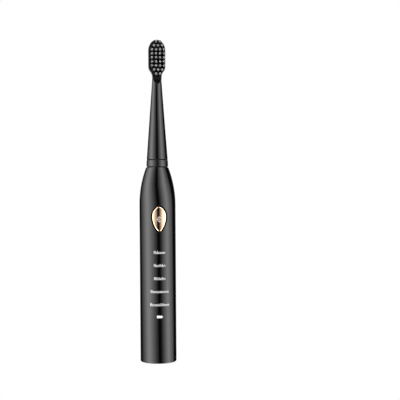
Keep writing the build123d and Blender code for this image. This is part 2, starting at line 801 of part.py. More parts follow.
def face_cut():
    """What is cut off the neck's front so that it runs into the plate's flat face."""
    outline = make_face(Polyline(
        (-PLATE_FRONT, FACE_CUT_HIGH), (-PLATE_FRONT, HEAD_TOP), (-FACE_CUT_REACH, HEAD_TOP),
        (-FACE_CUT_REACH, FACE_CUT_LOW), (-FACE_CUT_START, FACE_CUT_LOW), close=True,
    ))
    return extrude(Plane.YZ.offset(-BODY_RADIUS) * outline, 2 * BODY_RADIUS, dir=(1, 0, 0))


def plate_outline():
    """Front outline of the bristle plate: flared from the neck, straight, with an oval top."""
    step = (PLATE_HALF_WIDTH - PLATE_NECK) / 2
    rise = (FLARE_HIGH - FLARE_LOW) / 2
    flare = (step ** 2 + rise ** 2) / (2 * step)
    turn = degrees(atan2(rise, flare - step))
    outline = []
    for side in (-1, 1):
        low_centre = (side * (PLATE_NECK + flare), FLARE_LOW)
        high_centre = (side * (PLATE_HALF_WIDTH - flare), FLARE_HIGH)
        if side > 0:
            outline.append(CenterArc(low_centre, flare, 180 - turn, turn))
            outline.append(CenterArc(high_centre, flare, -turn, turn))
        else:
            outline.append(CenterArc(low_centre, flare, 0, turn))
            outline.append(CenterArc(high_centre, flare, 180, turn))
        corner = (side * PLATE_HALF_WIDTH, FLARE_HIGH)
        outline.append(Line(corner, (side * PLATE_HALF_WIDTH, PLATE_STRAIGHT_TOP)))
    outline.append(EllipticalCenterArc((0, FLARE_LOW), PLATE_NECK, PLATE_TONGUE, 180, arc_size=180))
    outline.append(EllipticalCenterArc(
        (0, PLATE_STRAIGHT_TOP), PLATE_HALF_WIDTH, HEAD_TOP - PLATE_STRAIGHT_TOP, 0, arc_size=180,
    ))
    return make_face(outline)


def head_plate():
    """Bristle plate with a well-rounded back edge and a small front edge."""
    plate = from_front(plate_outline(), -PLATE_FRONT, PLATE_BACK)
    plate = fillet(plate.faces().sort_by(Axis.Y)[-1].edges(), 1.5)
    return fillet(plate.faces().sort_by(Axis.Y)[0].edges(), 0.5)


def tuft_places():
    """Each tuft's x and height, row by row from the top."""
    places = []
    for row, count in enumerate(TUFT_ROWS):
        height = TUFT_TOP_ROW - row * TUFT_PITCH
        for column in range(count):
            places.append(((column - (count - 1) / 2) * TUFT_PITCH, height))
    return places


def head_stem():
    """Neck and bristle plate in one moulding, hollow where it fits over the shaft."""
    stem = head_neck() + head_plate()
    stem += rod(SPIGOT_RADIUS, RING_LOW + RING_RECESS_DEPTH, NECK_LOW + 1)
    stem += rod(LAND_RADIUS, RING_HIGH, NECK_LOW + 1)
    stem -= rod(5.3, RING_LOW, COUPLING_LOW)
    stem -= rod(COUPLING_RADIUS, COUPLING_LOW - 1, COUPLING_HIGH)
    for x, height in tuft_places():
        stem -= pin(TUFT_HOLE, -PLATE_FRONT - 1, -PLATE_FRONT + TUFT_HOLE_DEPTH, x, height)
    return stem


def head_ring():
    """Identification ring around the foot of the brush head."""
    recess = RING_LOW + RING_RECESS_DEPTH
    ring = turned_polygon(
        (SPIGOT_RADIUS, recess), (RING_RECESS_RADIUS, recess), (RING_RECESS_RADIUS, RING_LOW),
        (RING_RADIUS_LOW, RING_LOW), (RING_RADIUS_HIGH, RING_HIGH), (SPIGOT_RADIUS, RING_HIGH),
    )
    outer = [
        edge
        for edge in ring.edges().filter_by(GeomType.CIRCLE)
        if edge.radius > RING_RECESS_RADIUS + 0.1
    ]
    return fillet(outer, RING_EDGE)


def clip_space(grow):
    """The grip clip's form, or the pocket around it when grown."""
    return sector(2.7 + grow, 1.98 - grow, 160.0 - grow, 161.2 + grow, 90, 300 + 20 * grow)


def coupling_insert():
    """Hard insert in the head, with a bore and flat that match the shaft's."""
    insert = rod(COUPLING_RADIUS, COUPLING_LOW, COUPLING_HIGH)
    bore = rod(SHAFT_RADIUS + 0.05, COUPLING_LOW - 1, SHAFT_TOP + 1.5)
    bore -= block((-3, -3, COUPLING_LOW - 2), (3, -SHAFT_FLAT - 0.05, SHAFT_TOP + 2))
    return insert - bore - clip_space(0.06)


def grip_clip():
    """Spring steel clip that grips the shaft."""
    return clip_space(0)


def bristle_tufts():
    """Thirty tufts, a little wider at the tips than at the plate."""
    tufts = []
    root = -PLATE_FRONT + TUFT_HOLE_DEPTH - ANCHOR_DEPTH
    tip = -PLATE_FRONT - TUFT_LENGTH
    for x, height in tuft_places():
        foot = pin(TUFT_HOLE, -PLATE_FRONT, root, x, height)
        flared = Cone(TUFT_HOLE, TUFT_TIP, TUFT_LENGTH, align=(Align.CENTER, Align.CENTER, Align.MIN))
        flared = fillet(flared.edges().filter_by(GeomType.CIRCLE).sort_by(Axis.Z)[-1], 0.35)
        tufts.append(foot + Pos(x, tip + TUFT_LENGTH, height) * Rot(90, 0, 0) * flared)
    return tufts


def tuft_anchors():
    """Metal anchors that hold the folded tufts at the bottom of their holes."""
    anchors = []
    back = -PLATE_FRONT + TUFT_HOLE_DEPTH
    for x, height in tuft_places():
        low = (x - 0.8, back - ANCHOR_DEPTH, height - 0.12)
        anchors.append(block(low, (x + 0.8, back, height + 0.12)))
    return anchors


# ---------------------------------------------------------------- output

NODES = [
    handle_shell, base_cap, base_seal_ring, coil_bobbin, charging_coil, ferrite_disc,
    base_foam_pad, chassis, seal_retainer, battery_cell, battery_sleeve, battery_tabs,
    circuit_board, board_screws, microcontroller, board_chips, board_passives,
    charging_choke, mode_leds, battery_led, light_baffle, light_guides, coil_leads,
    motor_leads, switch_body, switch_plunger, button_membrane, power_button, button_icon,
    motor_can, motor_rear_bell, motor_front_bell, rear_bush, front_bush, stator_core,
    stator_coils, rotor_sleeve, rotor_magnets, drive_shaft, shaft_clip, thrust_washers,
    damper_rings, shaft_seal, head_stem, head_ring, coupling_insert, grip_clip,
    bristle_tufts, tuft_anchors,
]


def main():
    os.makedirs("parts", exist_ok=True)
    for make in NODES:
        shape = make()
        if isinstance(shape, list):
            shape = Compound(children=shape)
        export_step(shape, f"parts/{make.__name__}.step")


main()
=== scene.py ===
"""Looks for the electric toothbrush: bristle filaments, printed marks, materials, studio and camera."""
import json
from math import ceil, cos, pi, radians, sin, sqrt
import random

import bpy
from mathutils import Matrix, Vector


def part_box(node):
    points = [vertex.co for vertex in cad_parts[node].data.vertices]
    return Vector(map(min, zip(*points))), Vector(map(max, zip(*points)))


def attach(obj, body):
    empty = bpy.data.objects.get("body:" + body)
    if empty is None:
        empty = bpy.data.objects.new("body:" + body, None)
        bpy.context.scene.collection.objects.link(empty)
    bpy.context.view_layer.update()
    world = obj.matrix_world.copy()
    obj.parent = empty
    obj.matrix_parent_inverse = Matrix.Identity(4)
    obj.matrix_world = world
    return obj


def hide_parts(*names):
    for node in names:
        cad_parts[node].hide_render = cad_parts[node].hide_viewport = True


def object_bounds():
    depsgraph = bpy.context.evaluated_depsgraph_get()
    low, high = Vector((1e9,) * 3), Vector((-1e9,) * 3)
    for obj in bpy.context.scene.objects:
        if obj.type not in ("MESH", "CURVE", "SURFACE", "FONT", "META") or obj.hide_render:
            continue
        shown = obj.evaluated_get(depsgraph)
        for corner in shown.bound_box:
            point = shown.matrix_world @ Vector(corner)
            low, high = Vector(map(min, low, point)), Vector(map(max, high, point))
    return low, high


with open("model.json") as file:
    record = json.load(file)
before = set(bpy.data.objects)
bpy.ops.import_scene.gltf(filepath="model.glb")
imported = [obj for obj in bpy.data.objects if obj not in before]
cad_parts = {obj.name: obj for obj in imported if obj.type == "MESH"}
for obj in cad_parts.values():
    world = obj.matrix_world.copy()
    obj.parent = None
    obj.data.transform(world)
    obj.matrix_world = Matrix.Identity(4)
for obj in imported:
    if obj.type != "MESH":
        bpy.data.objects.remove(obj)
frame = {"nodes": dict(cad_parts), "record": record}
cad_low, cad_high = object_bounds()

MM = 0.001
BODY_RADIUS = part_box("handle_shell")[1].x
# Height of the foot of the brush head's glossy neck, above its textured land
NECK_FOOT = 151.42 * MM


# ---------------------------------------------------------------- materials

def start_material(name):
    """A new node material and its Principled shader."""
    material = bpy.data.materials.new(name)
    material.use_nodes = True
    return material, material.node_tree.nodes["Principled BSDF"]


def placed(tree, scale):
    """Object-space position, scaled on each axis."""
    place = tree.nodes.new("ShaderNodeTexCoord")
    mapping = tree.nodes.new("ShaderNodeMapping")
    mapping.inputs["Scale"].default_value = scale
    tree.links.new(place.outputs["Object"], mapping.inputs["Vector"])
    return mapping.outputs["Vector"]


def coordinate(tree, axis):
    """Object-space X, Y or Z, in metres."""
    place = tree.nodes.new("ShaderNodeTexCoord")
    axes = tree.nodes.new("ShaderNodeSeparateXYZ")
    tree.links.new(place.outputs["Object"], axes.inputs["Vector"])
    return axes.outputs[axis]


def combined(tree, operation, first, second):
    """Two numbers put together by a Math node."""
    node = tree.nodes.new("ShaderNodeMath")
    node.operation = operation
    tree.links.new(first, node.inputs[0])
    tree.links.new(second, node.inputs[1])
    return node.outputs[0]


def noise(tree, scale, detail=4.0, stretch=(1.0, 1.0, 1.0)):
    """Noise with its features about 1 / scale metres across."""
    texture = tree.nodes.new("ShaderNodeTexNoise")
    texture.inputs["Scale"].default_value = 1.0
    texture.inputs["Detail"].default_value = detail
    vector = placed(tree, [scale * part for part in stretch])
    tree.links.new(vector, texture.inputs["Vector"])
    return texture.outputs["Fac"]


def bands(tree, pitch, direction="Z"):
    """Soft bands, one for each pitch in metres."""
    texture = tree.nodes.new("ShaderNodeTexWave")
    texture.bands_direction = direction
    # The wave texture turns by 20 radians over one metre at a scale of 1
    texture.inputs["Scale"].default_value = 2 * pi / 20 / pitch
    tree.links.new(placed(tree, (1.0, 1.0, 1.0)), texture.inputs["Vector"])
    return texture.outputs["Fac"]


def between(tree, factor, low, high, start=0.3, stop=0.7):
    """A number that runs from low to high as factor goes from start to stop."""
    ramp = tree.nodes.new("ShaderNodeMapRange")
    for socket, value in (("From Min", start), ("From Max", stop), ("To Min", low), ("To Max", high)):
        ramp.inputs[socket].default_value = value
    tree.links.new(factor, ramp.inputs["Value"])
    return ramp.outputs["Result"]


def colours(tree, factor, first, second, start=0.3, stop=0.7):
    """A colour that runs from first to second as factor goes from start to stop."""
    ramp = tree.nodes.new("ShaderNodeValToRGB")
    low, high = ramp.color_ramp.elements
    low.position, high.position = start, stop
    low.color = (*first, 1.0)
    high.color = (*second, 1.0)
    tree.links.new(factor, ramp.inputs["Fac"])
    return ramp.outputs["Color"]


def relief(tree, shader, height, depth):
    """Bump of a real depth, in metres."""
    bump = tree.nodes.new("ShaderNodeBump")
    bump.inputs["Strength"].default_value = 1.0
    bump.inputs["Distance"].default_value = depth
    tree.links.new(height, bump.inputs["Height"])
    tree.links.new(bump.outputs["Normal"], shader.inputs["Normal"])


def finish_shader(shader, sockets):
    """Sets the shader's constant sockets."""
    for socket, value in sockets.items():
        shader.inputs[socket].default_value = value


def matt_below(tree, shader, roughness, height):
    """A textured, low-gloss land below a height, on a part that is glossy above it."""
    blend = 0.02 * MM
    land_rough = 0.7
    low = between(tree, coordinate(tree, "Z"), land_rough, 0.0, height - blend, height + blend)
    tree.links.new(combined(tree, "MAXIMUM", roughness, low), shader.inputs["Roughness"])
    tree.links.new(between(tree, low, 0.5, 0.12, 0.0, land_rough), shader.inputs["Specular IOR Level"])


def moulded(name, first, second, rough, scale=900.0, grain=0.0, grain_scale=9000.0, land=None, **sockets):
    """Moulded plastic or rubber: faint colour drift, uneven gloss and a fine grain."""
    material, shader = start_material(name)
    tree = material.node_tree
    drift = noise(tree, scale)
    tree.links.new(colours(tree, drift, first, second), shader.inputs["Base Color"])
    roughness = between(tree, noise(tree, scale / 6, 3.0), *rough)
    if land:
        matt_below(tree, shader, roughness, land)
    else:
        tree.links.new(roughness, shader.inputs["Roughness"])
    if grain:
        relief(tree, shader, noise(tree, grain_scale, 2.0), grain)
    finish_shader(shader, sockets)
    return material


def metal(name, first, second, rough, stretch=(1.0, 1.0, 0.04), scale=6000.0, grain=2e-7):
    """Metal with fine drawn or turned lines, long on the axis where stretch is smallest."""
    material, shader = start_material(name)
    tree = material.node_tree
    lines = noise(tree, scale, 5.0, stretch)
    tree.links.new(colours(tree, lines, first, second), shader.inputs["Base Color"])
    tree.links.new(between(tree, lines, *rough), shader.inputs["Roughness"])
    relief(tree, shader, lines, grain)
    finish_shader(shader, {"Metallic": 1.0})
    return material


def wound(name, first, second, pitch, rough, metallic, depth):
    """Turns of wire or stacked sheets: a band for each, with its own tone."""
    material, shader = start_material(name)
    tree = material.node_tree
    turns = bands(tree, pitch)
    tree.links.new(colours(tree, turns, first, second, 0.05, 0.6), shader.inputs["Base Color"])
    tree.links.new(between(tree, noise(tree, 1500.0), *rough), shader.inputs["Roughness"])
    relief(tree, shader, turns, depth)
    finish_shader(shader, {"Metallic": metallic})
    return material


def board_material():
    """Green solder mask with lighter copper tracks under it."""
    material, shader = start_material("board_green")
    tree = material.node_tree
    tracks = bands(tree, 0.9 * MM, "X")
    tree.links.new(
        colours(tree, tracks, (0.006, 0.07, 0.03), (0.02, 0.19, 0.08), 0.45, 0.55),
        shader.inputs["Base Color"],
    )
    tree.links.new(between(tree, noise(tree, 2500.0), 0.25, 0.4), shader.inputs["Roughness"])
    relief(tree, shader, tracks, 2e-5)
    return material


def bristle_material():
    """Nylon filaments, grey at their rounded ends and near black down their length: the dark length is
    painted shade of the deep gaps between filaments and tufts, where their gloss is also turned down.
    """
    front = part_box("bristle_tufts")[0].y
    material, shader = start_material("bristle_nylon")
    tree = material.node_tree
    along = between(tree, coordinate(tree, "Y"), 1.0, 0.0, front, front + TUFT_LENGTH)
    tone = combined(tree, "MULTIPLY", along, between(tree, noise(tree, 3000.0), 0.94, 1.0))
    # Painted shade mask: 0 down the filaments' shaded length, 1 at their ends
    root_shade_ramp = between(tree, tone, 0.0, 1.0, 0.92, 0.985)
    # Painted shade: near black where the gaps between filaments lie in shade, grey at the ends
    tree.links.new(
        colours(tree, root_shade_ramp, (0.010, 0.010, 0.011), (0.39, 0.39, 0.395), 0.0, 1.0),
        shader.inputs["Base Color"],
    )
    tree.links.new(between(tree, root_shade_ramp, 0.06, 0.25, 0.0, 1.0), shader.inputs["Specular IOR Level"])
    tree.links.new(between(tree, noise(tree, 8000.0, 2.0), 0.5, 0.62), shader.inputs["Roughness"])
    finish_shader(shader, {"IOR": 1.53})
    return material


def foam_material():
    """Closed-cell foam."""
    material, shader = start_material("foam")
    tree = material.node_tree
    cells = tree.nodes.new("ShaderNodeTexVoronoi")
    cells.inputs["Scale"].default_value = 1.0
    tree.links.new(placed(tree, (3500.0,) * 3), cells.inputs["Vector"])
    distance = cells.outputs["Distance"]
    tree.links.new(
        colours(tree, distance, (0.03, 0.03, 0.03), (0.08, 0.08, 0.08), 0.0, 0.8),
        shader.inputs["Base Color"],
    )
    tree.links.new(between(tree, distance, 0.8, 0.95, 0.0, 0.8), shader.inputs["Roughness"])
    relief(tree, shader, distance, 6e-5)
    return material


def make_materials():
    """One finished material for each of the record's slots."""
    deep_black, black = (0.0006, 0.0006, 0.00065), (0.0011, 0.0011, 0.0012)
    grey, steel, tin = (0.42, 0.42, 0.43), (0.60, 0.60, 0.61), (0.72, 0.71, 0.68)
    return {
        "black_gloss": moulded("black_gloss", deep_black, black, (0.07, 0.095), 500.0, 3e-7, IOR=1.5),
        "head_black": moulded(
            "head_black", deep_black, black, (0.07, 0.095), 500.0, 3e-7, land=NECK_FOOT, IOR=1.5,
        ),
        "ring_black": moulded(
            "ring_black", (0.0030, 0.0030, 0.0031), (0.0042, 0.0042, 0.0043), (0.15, 0.18), 500.0, 5e-7,
            IOR=1.5,
        ),
        "black_satin": moulded(
            "black_satin", (0.010, 0.010, 0.011), (0.016, 0.016, 0.017), (0.34, 0.44), 700.0, 6e-6, 4000.0,
        ),
        "silicone_black": moulded(
            "silicone_black", (0.0015, 0.0015, 0.0015), (0.003, 0.003, 0.003), (0.55, 0.68), 900.0, 3e-6,
            **{"Specular IOR Level": 0.1},
        ),
        "silicone_grey": moulded(
            "silicone_grey", (0.20, 0.20, 0.21), (0.27, 0.27, 0.28), (0.50, 0.62), 900.0, 3e-6,
        ),
        "nylon_white": moulded(
            "nylon_white", (0.66, 0.65, 0.60), (0.76, 0.75, 0.71), (0.38, 0.5), 600.0, 3e-6,
        ),
        "chassis_nylon": moulded(
            "chassis_nylon", (0.34, 0.35, 0.37), (0.44, 0.45, 0.47), (0.42, 0.56), 1800.0, 6e-6,
        ),
        "chip_black": moulded(
            "chip_black", (0.010, 0.010, 0.010), (0.022, 0.022, 0.022), (0.48, 0.6), 2500.0, 3e-6,
        ),
        "ceramic_tan": moulded(
            "ceramic_tan", (0.42, 0.33, 0.22), (0.58, 0.47, 0.34), (0.3, 0.4), 2500.0, 1e-6,
        ),
        "ferrite": moulded(
            "ferrite", (0.045, 0.045, 0.05), (0.09, 0.09, 0.095), (0.5, 0.65), 2500.0, 5e-6,
        ),
        "sleeve_film": moulded(
            "sleeve_film", (0.06, 0.15, 0.32), (0.09, 0.21, 0.42), (0.16, 0.26), 300.0, 5e-6, 700.0,
        ),
        "led_white": moulded(
            "led_white", (0.72, 0.70, 0.52), (0.88, 0.87, 0.78), (0.12, 0.2), 2500.0, 5e-7,
        ),
        "light_clear": moulded(
            "light_clear", (0.90, 0.92, 0.93), (0.96, 0.97, 0.98), (0.04, 0.1), 900.0, 5e-7,
            IOR=1.49, **{"Transmission Weight": 1.0},
        ),
        "lead_red": moulded("lead_red", (0.38, 0.03, 0.02), (0.5, 0.05, 0.035), (0.35, 0.45), 900.0, 1e-6),
        "icon_white": moulded(
            "icon_white", (0.27, 0.215, 0.19), (0.32, 0.26, 0.235), (0.32, 0.40), 1500.0, 1e-6,
        ),
        "rose_gold": metal(
            "rose_gold", (0.87, 0.59, 0.40), (0.91, 0.635, 0.44), (0.07, 0.10),
            (1.0, 1.0, 0.5), 1500.0, 5e-8,
        ),
        "copper": wound("copper", (0.30, 0.11, 0.04), (0.83, 0.42, 0.22), 0.32 * MM, (0.2, 0.34), 1.0, 6e-5),
        "core_iron": wound(
            "core_iron", (0.10, 0.10, 0.11), (0.42, 0.42, 0.44), 0.5 * MM, (0.3, 0.5), 1.0, 3e-5,
        ),
        "nickel": metal("nickel", tin, (0.60, 0.58, 0.54), (0.22, 0.36)),
        "screw_steel": metal("screw_steel", grey, steel, (0.22, 0.34), (1.0, 0.06, 1.0)),
        "can_steel": metal("can_steel", (0.48, 0.49, 0.51), steel, (0.26, 0.38)),
        "shaft_steel": metal(
            "shaft_steel", (0.16, 0.16, 0.165), (0.22, 0.22, 0.225), (0.12, 0.2), (0.04, 0.04, 1.0),
        ),
        "washer_steel": metal("washer_steel", grey, steel, (0.2, 0.3)),
        "magnet_nickel": metal("magnet_nickel", (0.66, 0.65, 0.62), tin, (0.12, 0.22)),
        "anchor_steel": metal("anchor_steel", (0.52, 0.46, 0.30), (0.64, 0.56, 0.38), (0.25, 0.36)),
        "bronze": metal(
            "bronze", (0.38, 0.25, 0.12), (0.56, 0.39, 0.21), (0.4, 0.55), (1.0, 1.0, 1.0), 5000.0, 3e-6,
        ),
        "board_green": board_material(),
        "bristle_nylon": bristle_material(),
        "foam": foam_material(),
    }


def dress_nodes(materials):
    """Gives each CAD node the material of its slot."""
    for row in frame["record"]["subparts"]:
        node = frame["nodes"][row["node"]]
        node.data.materials.clear()
        node.data.materials.append(materials[row["material_slot"]])


# ---------------------------------------------------------------- bristles

PLATE_FRONT = 2.2 * MM
TUFT_LENGTH = 10.0 * MM
TUFT_PITCH = 2.96 * MM
TUFT_ROWS = (2, 3, 4, 4, 4, 4, 4, 3, 2)
RINGS_OF_FILAMENTS = 4
FILAMENT_RADIUS = 0.105 * MM
ROOT_SPACING = 0.175 * MM
TIP_SPACING = 0.188 * MM
ROOT_DEPTH = 0.8 * MM
TIP_DOME = 0.06 * MM
TUFT_TILT = 0.03 * MM
TIP_SCATTER = 0.02 * MM
LENGTH_SCATTER = 0.06 * MM
SIDES = 8
# Where each ring of a filament's points stands along it, and its width there
FILAMENT_RINGS = ((0.0, 1.0), (0.5, 1.0), (0.97, 1.0), (0.988, 0.93), (0.996, 0.7))


def tuft_places():
    """Each tuft's x and height, row by row from the top."""
    low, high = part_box("bristle_tufts")
    middle = (low.z + high.z) / 2
    top = middle + (len(TUFT_ROWS) - 1) / 2 * TUFT_PITCH
    places = []
    for row, count in enumerate(TUFT_ROWS):
        for column in range(count):
            places.append(((column - (count - 1) / 2) * TUFT_PITCH, top - row * TUFT_PITCH))
    return places


def filament_places():
    """Unit offsets of a tuft's filaments: one in the middle and rings around it."""
    places = [(0.0, 0.0)]
    for ring in range(1, RINGS_OF_FILAMENTS + 1):
        for step in range(6 * ring):
            turn = 2 * pi * (step + 0.35 * ring) / (6 * ring)
            places.append((ring * cos(turn), ring * sin(turn)))
    return places


def add_filament(verts, faces, root, tip):
    """A closed round filament from root to tip, with a rounded end."""
    lean = tip - root
    side = lean.cross(Vector((0, 0, 1))).normalized()
    up = side.cross(lean).normalized()
    start = len(verts)
    for along, width in FILAMENT_RINGS:
        centre = root + lean * along
        for corner in range(SIDES):
            turn = 2 * pi * corner / SIDES
            verts.append(centre + FILAMENT_RADIUS * width * (side * cos(turn) + up * sin(turn)))
    verts.append(tip.copy())
    end = len(verts) - 1
    for ring in range(len(FILAMENT_RINGS) - 1):
        for corner in range(SIDES):
            here = start + ring * SIDES + corner
            beside = start + ring * SIDES + (corner + 1) % SIDES
            faces.append((here, beside, beside + SIDES, here + SIDES))
    last = start + (len(FILAMENT_RINGS) - 1) * SIDES
    for corner in range(SIDES):
        faces.append((last + corner, last + (corner + 1) % SIDES, end))
    faces.append(tuple(start + corner for corner in reversed(range(SIDES))))


def make_bristles(material):
    """Every tuft's filaments in one mesh, in place of the plain CAD tufts."""
    rng = random.Random(7)
    verts, faces = [], []
    for tuft_x, tuft_z in tuft_places():
        turn = rng.uniform(0, pi / 3)
        tilt_x = rng.gauss(0, TUFT_TILT)
        tilt_z = rng.gauss(0, TUFT_TILT)
        for x, z in filament_places():
            across = x * cos(turn) - z * sin(turn)
            upward = x * sin(turn) + z * cos(turn)
            root = Vector((
                tuft_x + across * ROOT_SPACING,
                -PLATE_FRONT + ROOT_DEPTH,
                tuft_z + upward * ROOT_SPACING,
            ))
            dome = TIP_DOME * (x * x + z * z) / RINGS_OF_FILAMENTS ** 2
            tip = Vector((
                tuft_x + across * TIP_SPACING + tilt_x + rng.gauss(0, TIP_SCATTER),
                -PLATE_FRONT - TUFT_LENGTH + dome + rng.uniform(0, LENGTH_SCATTER),
                tuft_z + upward * TIP_SPACING + tilt_z + rng.gauss(0, TIP_SCATTER),
            ))
            add_filament(verts, faces, root, tip)
    mesh = bpy.data.meshes.new("bristle_filaments")
    mesh.from_pydata(verts, [], faces)
    mesh.polygons.foreach_set("use_smooth", [True] * len(faces))
    mesh.materials.append(material)
    piece = bpy.data.objects.new("bristle_filaments", mesh)
    bpy.context.scene.collection.objects.link(piece)
    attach(piece, "brush_head")
    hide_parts("bristle_tufts")


# ---------------------------------------------------------------- printed marks

INK_THICKNESS = 0.025 * MM
INK_ROOT = 0.02 * MM
MARK_HEIGHT = 2.2 * MM
SHORT_STROKE = 1.55 * MM
STROKE_WIDTH = 0.4 * MM
STROKE_PITCH = 0.88 * MM
STROKE_CORNER = 0.17 * MM
# Each mode mark's height on the handle, its high bars and its number of bars
MODE_MARKS = (
    (82.2, (0, 1, 3), 10),
    (72.6, (0, 1, 5, 7), 10),
    (62.9, (0, 1, 2, 4, 7), 10),
    (53.3, (0, 1), 16),
    (43.6, (0, 1, 9, 11), 17),
)
BATTERY_HEIGHT = 34.9 * MM
CHARGE_BARS = (-1.6 * MM, -0.35 * MM, 0.9 * MM)
TERMINAL = 1.9 * MM

POWER_RING = 0.85 * MM
POWER_STROKE = 0.4 * MM
POWER_GAP = radians(70.0)
POWER_STEPS = 14


def on_cylinder(radius, across, height):
    """A point at an arc length across from the front line of a cylinder."""
    turn = across / radius
    return Vector((radius * sin(turn), -radius * cos(turn), height))


def edge_height(offset, half_width, half_height, corner):
    """Half the height of a rounded rectangle at an offset from its centre line."""
    inset = abs(offset) - (half_width - corner)
    if inset <= 0:
        return half_height
    return half_height - corner + sqrt(max(corner ** 2 - inset ** 2, 0.0))


def add_patch(verts, faces, radius, centre, width, height, corner, tilt=0.0):
    """A raised rounded rectangle on a cylinder, tilted in its own plane, as a closed thin solid."""
    half_width = width / 2
    body = half_width - corner
    offsets = [-body - corner * cos(pi / 2 * step / 4) for step in range(4)]
    straight = max(1, ceil(2 * body / (0.35 * MM)))
    offsets += [-body + 2 * body * step / straight for step in range(straight + 1)]
    offsets += [body + corner * sin(pi / 2 * step / 4) for step in range(1, 5)]
    start = len(verts)
    for level in (radius + INK_THICKNESS, radius - INK_ROOT):
        for offset in offsets:
            reach = max(edge_height(offset, half_width, height / 2, corner), 0.004 * MM)
            for rise in (-reach, reach):
                across = centre[0] + offset * cos(tilt) - rise * sin(tilt)
                upward = centre[1] + offset * sin(tilt) + rise * cos(tilt)
                verts.append(on_cylinder(level, across, upward))
    count = len(offsets)
    under = start + 2 * count
    for step in range(count - 1):
        low, high = start + 2 * step, start + 2 * step + 1
        faces.append((low, low + 2, high + 2, high))
        low_under, high_under = under + 2 * step, under + 2 * step + 1
        faces.append((low_under, high_under, high_under + 2, low_under + 2))
        faces.append((low, low_under, low_under + 2, low + 2))
        faces.append((high, high + 2, high_under + 2, high_under))
    last, last_under = start + 2 * (count - 1), under + 2 * (count - 1)
    faces.append((start, start + 1, under + 1, under))
    faces.append((last, last_under, last_under + 1, last + 1))


def mark_piece(name, build, body, material):
    """A piece made of patches: build fills its vertices and faces."""
    verts, faces = [], []
    build(verts, faces)
    mesh = bpy.data.meshes.new(name)
    mesh.from_pydata(verts, [], faces)
    mesh.materials.append(material)
    piece = bpy.data.objects.new(name, mesh)
    bpy.context.scene.collection.objects.link(piece)
    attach(piece, body)


def mode_strokes(height, tall, count):
    """A row of upright bars on one base line; the ones listed in tall are higher."""
    def build(verts, faces):
        for step in range(count):
            across = (step - (count - 1) / 2) * STROKE_PITCH
            stroke = MARK_HEIGHT if step in tall else SHORT_STROKE
            middle = height - SHORT_STROKE / 2 + stroke / 2
            add_patch(verts, faces, BODY_RADIUS, (across, middle), STROKE_WIDTH, stroke, STROKE_CORNER)
    return build


def battery_symbol(verts, faces):
    """A generic battery: three charge bars and its small terminal."""
    for centre in CHARGE_BARS:
        add_patch(verts, faces, BODY_RADIUS, (centre, BATTERY_HEIGHT), 1.2 * MM, 1.8 * MM, 0.12 * MM)
    add_patch(verts, faces, BODY_RADIUS, (TERMINAL, BATTERY_HEIGHT), 0.7 * MM, 0.95 * MM, 0.2 * MM)


def make_marks(ink):
    """Pad-printed mode marks and the battery symbol on the handle."""
    for mode, (height, tall, count) in enumerate(MODE_MARKS, 1):
        build = mode_strokes(height * MM, tall, count)
        mark_piece(f"mode_mark_{mode}", build, "handle", ink)
    mark_piece("battery_symbol", battery_symbol, "handle", ink)


def power_symbol(verts, faces):
    """A generic power symbol: an open ring and an upright bar."""
    low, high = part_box("button_icon")
    radius = -low.y
    centre = (low.z + high.z) / 2
    arc = 2 * pi - POWER_GAP
    length = POWER_RING * arc / POWER_STEPS * 1.25
    for step in range(POWER_STEPS):
        turn = (pi + POWER_GAP) / 2 + arc * (step + 0.5) / POWER_STEPS
        place = (POWER_RING * cos(turn), centre + POWER_RING * sin(turn))
        add_patch(verts, faces, radius, place, length, POWER_STROKE, 0.08 * MM, turn + pi / 2)
    bar = (0.0, centre + POWER_RING * 0.72)
    add_patch(verts, faces, radius, bar, 0.36 * MM, 1.1 * MM, 0.15 * MM)


# ---------------------------------------------------------------- studio and camera

# The view: turn and roll in degrees; distance, eye height, aim and the field's width in metres
VIEW_AZIMUTH = -5.0
ROLL = 0.3
VIEW_DISTANCE = 0.79
EYE_HEIGHT = 0.1422
AIM_RIGHT = 0.03175
AIM_HEIGHT = 0.1206
FIELD = 0.2992
# The sensor's width in millimetres
SENSOR = 36.0

# Heights of the panels' rows and how much brighter each row is than the middle ones
TENT_ROWS = ((-1.4, 2.4), (-0.7, 1.8), (-0.4, 1.0), (0.6, 1.0), (1.1, 0.95), (1.7, 1.6), (3.2, 2.4))
TENT_RADIUS = 1.2
# The panels lean by this many degrees for each metre of height, between two heights
LEAN = -24.0
LEAN_FROM = -0.158
LEAN_LOW = -0.4
LEAN_HIGH = 0.6
PANEL_STEPS = 8
# Softboxes as bent panels: azimuths from the camera, each with its strength
SOFTBOXES = {
    "softbox_left": (
        (3, 0.0), (-1, 0.36), (-10, 0.75), (-28, 2.15), (-50, 4.2), (-62, 4.7), (-72, 3.9),
        (-90, 1.95), (-100, 1.15), (-110, 0.6), (-118, 0.3), (-124, 0.0),
    ),
    "softbox_right": (
        (14, 0.0), (22, 0.33), (35, 1.4), (50, 2.95), (62, 4.25), (71, 4.05), (87, 2.2),
        (106, 0.8), (115, 0.0),
    ),
    "softbox_rear": ((150, 0.0), (165, 1.5), (180, 2.4), (195, 1.5), (210, 0.0)),
}


def view_axes():
    """The camera's back and right directions in plan."""
    turn = radians(VIEW_AZIMUTH)
    return Vector((sin(turn), -cos(turn), 0.0)), Vector((cos(turn), sin(turn), 0.0))


def make_camera():
    """Camera at the photograph's place, rolled by the small lean of the picture."""
    back, right = view_axes()
    place = back * VIEW_DISTANCE + Vector((0, 0, EYE_HEIGHT))
    aim = right * AIM_RIGHT + Vector((0, 0, AIM_HEIGHT))
    data = bpy.data.cameras.new("camera")
    data.sensor_width = SENSOR
    data.lens = SENSOR * VIEW_DISTANCE / FIELD
    data.clip_start = 0.01
    camera = bpy.data.objects.new("camera", data)
    camera.location = place
    look = (aim - place).to_track_quat("-Z", "Y").to_matrix().to_4x4()
    camera.rotation_euler = (look @ Matrix.Rotation(radians(-ROLL), 4, "Z")).to_euler()
    bpy.context.scene.collection.objects.link(camera)
    bpy.context.scene.camera = camera


